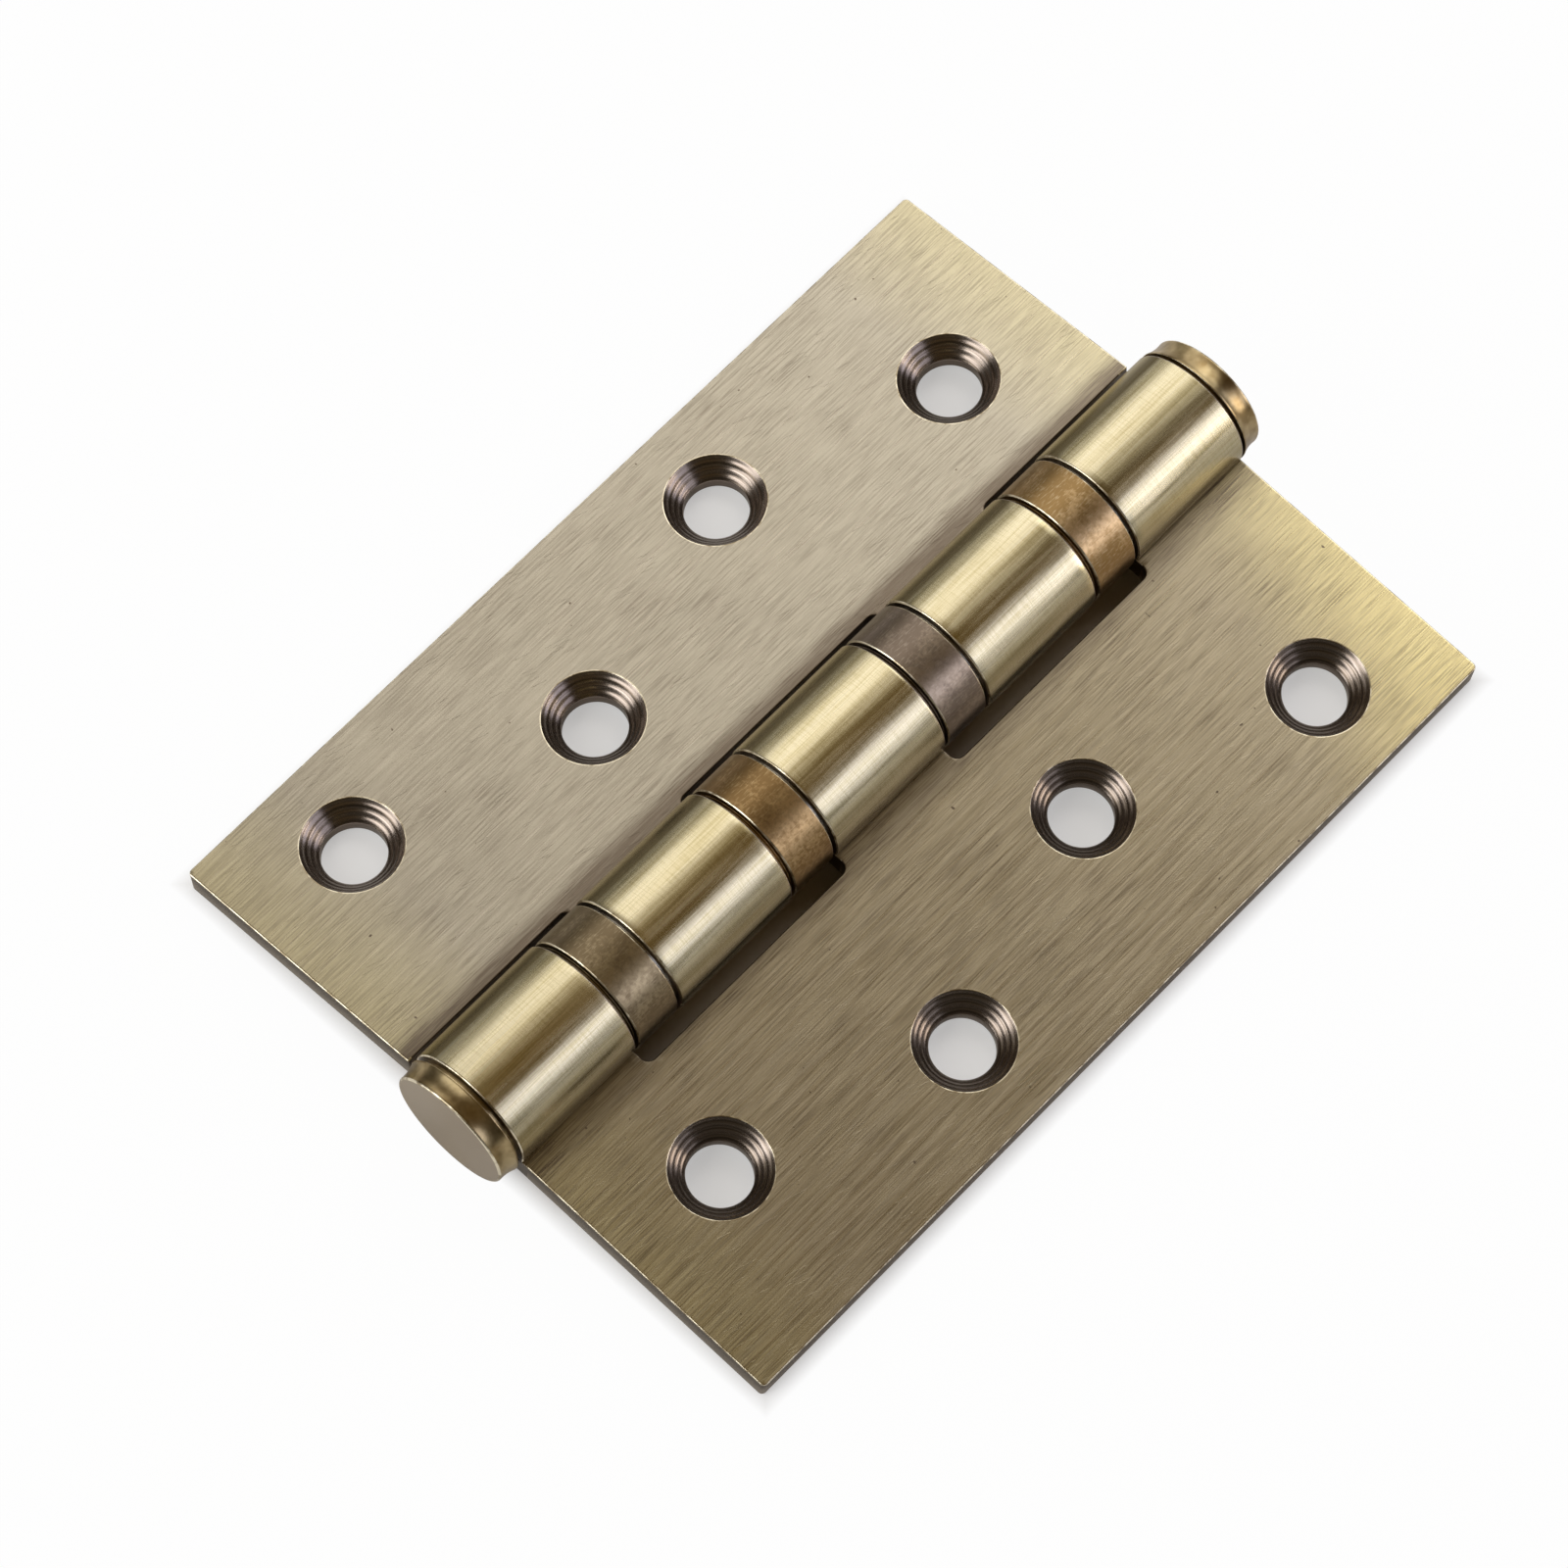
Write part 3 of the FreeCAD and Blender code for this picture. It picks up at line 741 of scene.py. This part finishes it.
def holePatches(centre, aLines, yLines):
    # A square of the plate round one screw hole: spokes from the rim to the square's border, and
    # the hole's profile turned about its axis
    centre = np.array(centre)
    half = leaf["holeSquare"]
    across = between(aLines, centre[0] - half, centre[0] + half)
    along = between(yLines, centre[1] - half, centre[1] + half)
    border = np.concatenate([
        pairs(across[:-1], along[0]),
        pairs(across[-1], along[:-1]),
        pairs(across[:0:-1], along[-1]),
        pairs(across[0], along[::-1]),
    ])
    spoke = border - centre
    reach = np.hypot(*spoke.T)[:, None]
    direction = spoke / reach
    rim, hole, face, back = leaf["sinkRadius"], leaf["holeRadius"], leaf["face"], leaf["back"]
    depth = rim - hole
    soft = leaf["holeEdge"]
    foot = face - depth
    corners = [(rim + soft, face), (rim, face), (hole, foot), (hole, back), (hole + soft, back)]
    profile = softenCorners(corners, soft, False)
    # The cutter leaves shallow steps: a wave across the cone's slope
    low, high = leaf["wavy"]
    down = np.linspace(low, high, 33)[:, None]
    wave = leaf["stepDepth"] * np.sin(2 * math.pi * leaf["steps"] * (down - low) / (high - low))
    slope = np.array([rim, face]) - depth * down + wave * math.sqrt(0.5) * np.array([1, -1])
    cut = 1 + np.argmax(profile[:, 1] < face - low * depth)
    keepAfter = np.argmax(profile[:, 1] < face - high * depth)
    profile = np.concatenate([profile[:cut - 1], slope, profile[keepAfter:]])
    share = np.linspace(0, 1, 6)[:, None, None] ** 1.5
    patches = []
    for radius, height in ((rim + soft, face), (hole + soft, back)):
        ring = centre + direction * (radius * (1 - share) + reach * share)
        patches.append(flatPatch(ring, height))
    turn = np.unwrap(np.arctan2(direction[:, 1], direction[:, 0])) * rim
    wall = centre + direction[None] * profile[:, 0][:, None, None]
    uv = pairs(turn[None], runAlong(profile)[:, None])
    # The countersink's rounded rim gets the rubbed colour, partly a painted highlight
    metals = np.where(np.arange(len(profile) - 1) < cut - 2, rubbedHighlight, sink)[:, None]
    patches.append(patch(atHeight(wall, profile[:, 1][:, None]), uv, metals))
    return patches


def leafPatches(numbers, slotGap, facing):
    # One plate with its knuckles, in the leaf's own frame: across from the axis, along, height
    edge, corner, slotCorner = leaf["edge"], leaf["corner"], leaf["slotCorner"]
    slotReach = hinge["barrel"] + slotGap
    leaf["neck"] = slotReach - slotCorner
    half, reach, neck = hinge["halfLength"], leaf["reach"], leaf["neck"]
    spans = [knuckleSpan(number) for number in numbers]
    slotEdge, outerEdge, endEdge = slotReach + edge, reach - edge, half - edge
    aBreaks = [neck, slotEdge, reach - corner, outerEdge]
    yBreaks = [-endEdge, endEdge, corner - half, half - corner]
    inner = [(low, -1) for low, high in spans if low > -half + 1]
    inner += [(high, 1) for low, high in spans if high < half - 1]
    for place, way in inner:
        yBreaks += [place - way * edge, place + way * slotCorner]
    square = leaf["holeSquare"]
    for across, along in leaf["screws"]:
        aBreaks += [across - square, across + square]
        yBreaks += [along - square, along + square]
    aLines, yLines = spacedLines(aBreaks), spacedLines(yBreaks)

    # Flat of the plate, without the hole squares, the slots and the rounded corners
    middleA = ((aLines[:-1] + aLines[1:]) / 2)[None]
    middleY = ((yLines[:-1] + yLines[1:]) / 2)[:, None]
    inKnuckle = sum((middleY > low) & (middleY < high) for low, high in spans) > 0
    keep = inKnuckle | (middleA > slotEdge)
    for across, along in leaf["screws"]:
        keep = keep & ~((abs(middleA - across) < square) & (abs(middleY - along) < square))
    keep = keep & ~((middleA > reach - corner) & (abs(middleY) > half - corner))
    flat = pairs(aLines[None], yLines[:, None])
    patches = [flatPatch(flat, leaf["face"], keep), flatPatch(flat, leaf["back"], keep)]
    for centre in leaf["screws"]:
        patches += holePatches(centre, aLines, yLines)

    # A rounded corner: the strip between an arc and the two straight sides of the square round it,
    # which run from that place across to the bend, and from there to that place along
    def filledCorner(centre, radius, startAngle, outward, bend, across, along):
        first = pairs(between(aLines, across, bend[0]), bend[1])
        second = pairs(bend[0], between(yLines, bend[1], along))
        sides = np.concatenate([first, second[1:]])
        arc = quarterTurn(centre, radius, startAngle, len(sides), outward)
        if np.hypot(*(arc[0][0] - sides[0])) > 1e-3:
            arc = reversedRun(arc)
        for height in (leaf["face"], leaf["back"]):
            patches.append(flatPatch(np.stack([arc[0], sides]), height))
        return arc

    endArcs = []
    for way in (-1, 1):
        centre = (reach - corner, way * (half - corner))
        turned = centre, corner - edge, -90 if way < 0 else 0, 1
        endArcs.append(filledCorner(*turned, centre, outerEdge, way * endEdge))
    slotArcs = {}
    for place, way in inner:
        centre = (neck, place + way * slotCorner)
        bend = (slotEdge, place - way * edge)
        turned = centre, slotCorner + edge, -90 if way > 0 else 0, -1
        slotArcs[place] = filledCorner(*turned, bend, *centre)

    # The plate's edges, as paths from knuckle to knuckle
    def alongSlot(low, high):
        return straightRun(pairs(slotEdge, between(yLines, low, high)), (-1, 0))

    for (low, start), (end, high) in zip(spans, spans[1:]):
        wall = alongSlot(start + slotCorner, end - slotCorner)
        patches.append(edgeWall([slotArcs[start], wall, reversedRun(slotArcs[end])]))
    openEnds = spans[0][0] > -half + 1
    endLine = between(aLines, slotEdge if openEnds else neck, reach - corner)
    bottom = straightRun(pairs(endLine, -endEdge), (0, -1))
    top = straightRun(pairs(endLine[::-1], endEdge), (0, 1))
    outerLine = between(yLines, corner - half, half - corner)
    outerSide = straightRun(pairs(outerEdge, outerLine), (1, 0))
    runs = [bottom, reversedRun(endArcs[0]), outerSide, endArcs[1], top]
    if openEnds:
        count = leaf["roundSteps"]
        lowTurn = quarterTurn((slotEdge, -endEdge), 0, 180, count)     # no radius: the normal turns
        highTurn = quarterTurn((slotEdge, endEdge), 0, 90, count)
        start, end = spans[0][0], spans[-1][1]
        lowSide = reversedRun(alongSlot(-endEdge, start - slotCorner))
        highSide = reversedRun(alongSlot(end + slotCorner, endEdge))
        last = reversedRun(slotArcs[end])
        runs = [slotArcs[start], lowSide, lowTurn, *runs, highTurn, highSide, last]
    patches.append(edgeWall(runs))
    for low, high in spans:
        patches += knucklePatches(low, high, yLines, facing)
    return patches


def placeLeaf(patches, facing):
    # Leaf frame to the hinge's: lean by the droop, lift to the axis, half a turn when facing -1
    lean = leaf["droop"]
    for part in patches:
        across, along, height = np.moveaxis(part["points"], -1, 0)
        x = across * math.cos(lean) + height * math.sin(lean)
        z = hinge["axisHeight"] - across * math.sin(lean) + height * math.cos(lean)
        part["points"] = np.stack([facing * x, facing * along, z], -1)
        part["uv"] = part["uv"] + [0, leaf["mapShift"] * facing]
    return patches


for node, body, facing, numbers, slotGap in (
    ("leaf_three_knuckle", "three_knuckle_side", 1, (1, 3, 5), 1.65),
    ("leaf_two_knuckle", "two_knuckle_side", -1, (2, 4), 1.27),
):
    metals = [plateMetals[facing], knuckleMetal, sinkMetal, edgeMetal, rubbedHighlightMetal]
    patches = placeLeaf(leafPatches(numbers, slotGap, facing), facing)
    piece = buildPiece("brushed_" + node, patches, metals)
    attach(piece, body)
    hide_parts(node)
    print(node, "built with", len(piece.data.polygons), "faces")


# ---- pin and plug

button = {
    "neck": 6.25,
    "lipRadius": 6.95,
    "lip": 0.14,
    "rimRadius": 6.65,
    "cove": 4.0,
    "length": 2.8,
    "round": 0.25,
    "shankBevel": 0.4,
    "edge": 0.06,
    "faceRings": [4.0, 2.0, 0.0],   # radii of the mesh's rings on the flat end
    "rubbedHighlightFrom": 6.3,
    "spigot": 7.0,
    "pinGap": 1.0,          # between the pin's end and the plug's
}


def turnedPin(name, way, gap, shankRadius, shankEnd):
    # Half section from the button's flat face over its rounded rim, cove and lip to the shank's end
    half, length = hinge["halfLength"], button["length"]
    lipTop = gap + button["lip"]
    rimFoot = (button["rimRadius"], length - button["round"])
    rimTop = (button["rimRadius"] - button["round"], length)
    cove = arcPoints((button["lipRadius"], lipTop), rimFoot, button["cove"], -1, 16)
    rim = arcPoints(rimFoot, rimTop, button["round"], 1, 10)
    head = np.concatenate([
        [(button["neck"], 0), (button["neck"], gap), (button["lipRadius"], gap)],
        cove,
        rim[1:],
        pairs(button["faceRings"], length),
    ])
    bevel = button["shankBevel"]
    tail = shankEnd - half
    shank = [(0, tail), (shankRadius - bevel, tail), (shankRadius, tail + bevel), (shankRadius, 0)]
    profile = softenCorners(np.concatenate([head[::-1], shank[::-1]]), button["edge"], False)
    profile[:, 1] = way * (half + profile[:, 1])
    return buildPiece(name, [lathe(profile, button["rubbedHighlightFrom"])], [buttonMetal, rubbedHighlightMetal])


spigotEnd = -hinge["halfLength"] + button["spigot"]
# Each with the gap that shows as a dark line between it and its knuckle
for node, way, gap, shankRadius, shankEnd in (
    ("hinge_pin", 1, 0.36, hinge["pin"], spigotEnd + button["pinGap"]),
    ("tip_plug", -1, 0.58, hinge["bore"], -spigotEnd),
):
    piece = turnedPin("turned_" + node, way, gap, shankRadius, shankEnd)
    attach(piece, "three_knuckle_side")
    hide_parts(node)
print("pin and plug turned")


# ---- bearings

bearing = {
    "raceBore": 4.05,
    "neck": 6.05,
    "gap": 0.41,
    "sleeve": 6.9,
    "sleeveBore": 6.3,
    "sleeveBevel": 0.12,
    "race": 6.2,
    "rim": 0.12,            # foot of the lower race, set back under the sleeve as a dark line
    "rimRadius": 6.4,
    "rimGap": 0.06,
    "ball": 0.794,
    "balls": 10,
    "ballPlay": 0.02,
    "grooveDepth": 0.25,
    "groove": 0.854,
    "edge": 0.05,
    "rubbedHighlightFrom": 6.5,
}
bearing["pitch"] = (bearing["sleeveBore"] + bearing["raceBore"]) / 2
bearing["raceTop"] = hinge["bearing"] / 2 - bearing["ball"] - bearing["ballPlay"] \
    + bearing["grooveDepth"]


def grooveArc(height, side):
    # The ball groove, from the pitch circle's outside to its inside
    radius, pitch = bearing["groove"], bearing["pitch"]
    halfWidth = math.sqrt(radius**2 - (radius - bearing["grooveDepth"]) ** 2)
    return arcPoints((pitch + halfWidth, height), (pitch - halfWidth, height), radius, side, 10)


def lowerRaceProfile():
    bore, neck, gap = bearing["raceBore"], bearing["neck"], bearing["gap"]
    rim, race = bearing["rimRadius"], bearing["race"]
    top, rimTop = bearing["raceTop"], gap + bearing["rim"]
    foot = [(bore, 0), (neck, 0), (neck, gap), (rim, gap), (rim, rimTop), (race, rimTop)]
    return np.concatenate([foot, [(race, top)], grooveArc(top, -1), [(bore, top)]])


def upperRaceProfile():
    under, top = hinge["bearing"] - bearing["raceTop"], hinge["bearing"]
    inside, outside = bearing["raceBore"], bearing["sleeveBore"]
    head = [(inside, under), (inside, top), (outside, top), (outside, under)]
    return np.concatenate([head, grooveArc(under, 1)])


def sleeveProfile():
    low = bearing["gap"] + bearing["rim"] + bearing["rimGap"]
    high = hinge["bearing"] - bearing["gap"]
    outside, inside, bevel = bearing["sleeve"], bearing["sleeveBore"], bearing["sleeveBevel"]
    return np.array([
        (inside, low), (outside - bevel, low), (outside, low + bevel),
        (outside, high - bevel), (outside - bevel, high), (inside, high),
    ])


def turnedRing(name, profile, start, metal):
    profile = softenCorners(profile, bearing["edge"], True) + [0, start]
    loop = np.concatenate([profile, profile[:1]])
    return buildPiece(name, [lathe(loop, bearing["rubbedHighlightFrom"])], [metal, rubbedHighlightMetal])


def ballRing(name, start):
    # Spheres on the pitch circle, each its centre plus its radius times
    # (cos(tilt) cos(turn), sin(tilt), cos(tilt) sin(turn))
    pitch, radius, count = bearing["pitch"], bearing["ball"], bearing["balls"]
    turn = np.linspace(0, 2 * math.pi, 25)[None, None]
    tilt = np.linspace(-math.pi / 2, math.pi / 2, 13)[None, :, None]
    place = (np.arange(count) * 2 * math.pi / count)[:, None, None]
    x = pitch * np.cos(place) + radius * np.cos(tilt) * np.cos(turn)
    y = start + hinge["bearing"] / 2 + radius * np.sin(tilt) + 0 * x
    z = hinge["axisHeight"] + pitch * np.sin(place) + radius * np.cos(tilt) * np.sin(turn)
    balls = [patch(np.stack(ball, -1), pairs(turn[0], tilt[0])) for ball in zip(x, y, z)]
    return buildPiece(name, balls, [ballMetal])


for number in range(1, hinge["knuckles"]):
    start = knuckleSpan(number)[1]
    onThree, onTwo = "three_knuckle_side", "two_knuckle_side"
    lowerBody, upperBody = (onThree, onTwo) if number % 2 else (onTwo, onThree)
    ringMetal = ringMetals[number - 1]
    ringSlot = "sleeve_grey_brown" if number % 2 else "sleeve_copper_brown"
    rings = [
        ("lower_race", lowerRaceProfile(), lowerBody, ringMetal, "race_steel"),
        ("upper_race", upperRaceProfile(), upperBody, raceMetal, "race_steel"),
        ("sleeve", sleeveProfile(), upperBody, ringMetal, ringSlot),
    ]
    for kind, profile, body, metal, slotName in rings:
        piece = turnedRing(f"turned_{kind}_{number}", profile, start, metal)
        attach(piece, body)
        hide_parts(f"bearing_{kind}_{number}")
    piece = ballRing(f"ball_ring_{number}", start)
    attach(piece, f"ball_set_{number}")
    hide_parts(f"bearing_balls_{number}")
    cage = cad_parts[f"bearing_cage_{number}"]
    cage.data.materials.clear()
    cage.data.materials.append(nylon)
print("bearings built")


# ---- floor, light and camera

studio = {
    "floorSize": 4000.0,
    "floorDrop": 0.02,
    "paper": "#f0f0f0",
    "shade": "#d8cdc2",     # painted shade on the paper under the barrel, brownish
    "underBarrel": 10.0,    # from the barrel's middle
    "shadeEnd": 12.0,       # where that shade has faded out
    "whiteShare": 0.97,     # how much of the paper's own shade gives way to plain white
    "holeShare": 0.42,      # painted light: the same for the shaded paper under the leaves, seen through the screw holes
    "holesFrom": 15.0,
    "clearInside": 2.0,     # the share fades out from outside to inside the hinge's outline
    "clearOutside": 1.4,
    "glossShare": 0.15,     # metal shows the white floor more faintly than the camera
    "ceiling": "#a08145",   # warm dark room over the hinge, grey at the sides
    "wall": "#8f897e",
    "ceilingTone": 0.33,
    "wallTone": 0.28,
    "wallTop": (0.3, 0.9),  # heights on the unit sphere between which wall becomes ceiling
    "lampDistance": 600.0,
}


def paperFloor(add):
    # White paper seen as plain white, with the object's shadow kept: close round the hinge it is
    # paper alone. Under the leaves, where the screw holes show it, a share of white is painted
    # light over its shade, but not under the barrel, where the paper has a painted brownish shade.
    # From below it doesn't show.
    across, along = (add("Math", [axis], operation="ABSOLUTE") for axis in ownAxes(add)[:2])
    overSide = add("Math", [across, leaf["reach"] * metre], operation="SUBTRACT")
    overEnd = add("Math", [along, hinge["halfLength"] * metre], operation="SUBTRACT")
    outside = add("Math", [overSide, overEnd], operation="MAXIMUM")
    ends = -studio["clearInside"] * metre, studio["clearOutside"] * metre
    around = add("MapRange", [outside, *ends, 0.0, studio["whiteShare"]])
    barrel = studio["underBarrel"] * metre
    # Painted light: a share of white on the shaded paper under the leaves
    under = add("MapRange", [across, barrel, studio["holesFrom"] * metre, 0.0, studio["holeShare"]])
    clear = add("Math", [around, under], operation="MAXIMUM")
    path = add("LightPath").outputs
    gloss = add("Math", [path["Is Glossy Ray"], studio["glossShare"]], operation="MULTIPLY")
    rays = [path["Is Camera Ray"], path["Is Transmission Ray"]]
    seen = add("Math", rays, operation="MAXIMUM")
    seen = add("Math", [seen, gloss], operation="MAXIMUM")
    share = add("Math", [seen, clear], operation="MULTIPLY")
    # Painted shade: a brownish tone on the paper under the barrel
    beside = add("MapRange", [across, barrel, studio["shadeEnd"] * metre])
    past = add("MapRange", [overEnd, -metre, metre])
    beside = add("Math", [beside, past], operation="MAXIMUM")
    tone = add("Mix", {0: beside, 6: studio["shade"], 7: studio["paper"]}, **rgba)
    paper = add("BsdfDiffuse", {"Color": tone})
    white = add("Emission", {"Color": "#ffffff"})
    top = add("MixShader", [share, paper, white])
    below = add("NewGeometry").outputs["Backfacing"]
    both = add("MixShader", [below, top, add("BsdfTransparent")])
    add("OutputMaterial", {"Surface": both})


half, low = studio["floorSize"] / 2 * metre, -studio["floorDrop"] * metre
corners = [(x * half, y * half, low) for x, y in ((-1, -1), (1, -1), (1, 1), (-1, 1))]
floorMesh = bpy.data.meshes.new("floor")
floorMesh.from_pydata(corners, [], [(0, 1, 2, 3)])
floorMesh.materials.append(newMaterial("whitePaper", paperFloor))
floor = bpy.data.objects.new("floor", floorMesh)
scene.collection.objects.link(floor)

world = bpy.data.worlds.new("studioRoom")
scene.world = world
world.use_nodes = True
world.node_tree.nodes.clear()
add = partial(addNode, world.node_tree)
upward = add("SeparateXYZ", [add("TexCoord").outputs["Generated"]]).outputs[2]
height = add("MapRange", [upward, *studio["wallTop"]])
shade = add("Mix", {0: height, 6: studio["wall"], 7: studio["ceiling"]}, **rgba)
tone = add("MapRange", [upward, *studio["wallTop"], studio["wallTone"], studio["ceilingTone"]])
sky = add("Background", {"Color": shade, "Strength": tone})
add("OutputWorld", {"Surface": sky})


def softbox(name, lean, tilt, level, colour="#ffffff"):
    # A panel between two leans off the zenith towards +X and two tilts towards +Y, in degrees,
    # facing the hinge. Its power gives the named brightness: level times pi times its area.
    distance = studio["lampDistance"] * metre
    middleLean, middleTilt = math.radians(sum(lean) / 2), math.radians(sum(tilt) / 2)
    direction = Vector((
        math.sin(middleLean) * math.cos(middleTilt),
        math.sin(middleTilt),
        math.cos(middleLean) * math.cos(middleTilt),
    ))
    across = Vector((math.cos(middleLean), 0, -math.sin(middleLean)))
    along = direction.cross(across)
    light = bpy.data.lights.new(name, "AREA")
    light.shape = "RECTANGLE"
    light.size = 2 * distance * math.tan(math.radians(lean[1] - lean[0]) / 2) * math.cos(middleTilt)
    light.size_y = 2 * distance * math.tan(math.radians(tilt[1] - tilt[0]) / 2)
    light.energy = level * math.pi * light.size * light.size_y
    light.color = linearColour(colour)[:3]
    lamp = bpy.data.objects.new(name, light)
    lamp.rotation_mode = "QUATERNION"
    lamp.rotation_quaternion = Matrix((across, along, direction)).transposed().to_quaternion()
    lamp.location = direction * distance
    lamp.visible_camera = False
    scene.collection.objects.link(lamp)


softbox("leftSoftbox", (-64, -15), (7, 58), 0.87, "#fdfcff")
softbox("leftGlow", (-84, 4), (8, 60), 0.28, "#fff8e6")
softbox("rightStrip", (43, 71), (4, 58), 1.24, "#e3e6ff")
softbox("rightGlow", (46, 84), (4, 58), 0.36, "#f4f4ff")
softbox("rightLow", (57, 84), (29, 50), 3.6, "#fff2e6")
softbox("farFill", (-34, 12), (27, 66), 1.45)
softbox("nearFill", (-60, -6), (-48, -14), 1.0)
softbox("nearPanel", (-86, -4), (-66, -44), 4.0)
print("floor and lights set")

view = {
    "azimuth": 41.8725,
    "elevation": 65.8908,
    "roll": 1.3415,
    "target": (-1.4754, -6.0659, 7.0),
    "distance": 646.076,
    "focal": 6876.48 / 1600,    # focal length over the width of the 1600 pixel square
    "sensor": 36.0,
}
azimuth, elevation, roll = (math.radians(view[key]) for key in ("azimuth", "elevation", "roll"))
back = Vector((
    math.sin(azimuth) * math.cos(elevation),
    -math.cos(azimuth) * math.cos(elevation),
    math.sin(elevation),
))
lens = bpy.data.cameras.new("camera")
lens.sensor_width = view["sensor"]
lens.lens = view["focal"] * view["sensor"]
lens.clip_start, lens.clip_end = 0.01, 20
camera = bpy.data.objects.new("camera", lens)
camera.rotation_mode = "QUATERNION"
right = (-back).cross(Vector((0, 0, 1))).normalized()
up = right.cross(-back)
rolledRight = right * math.cos(roll) + up * math.sin(roll)
rolledUp = up * math.cos(roll) - right * math.sin(roll)
axes = Matrix((rolledRight, rolledUp, back)).transposed()
camera.rotation_quaternion = axes.to_quaternion()
camera.location = (Vector(view["target"]) + back * view["distance"]) * metre
scene.collection.objects.link(camera)
scene.camera = camera
scene.view_settings.view_transform = "Standard"
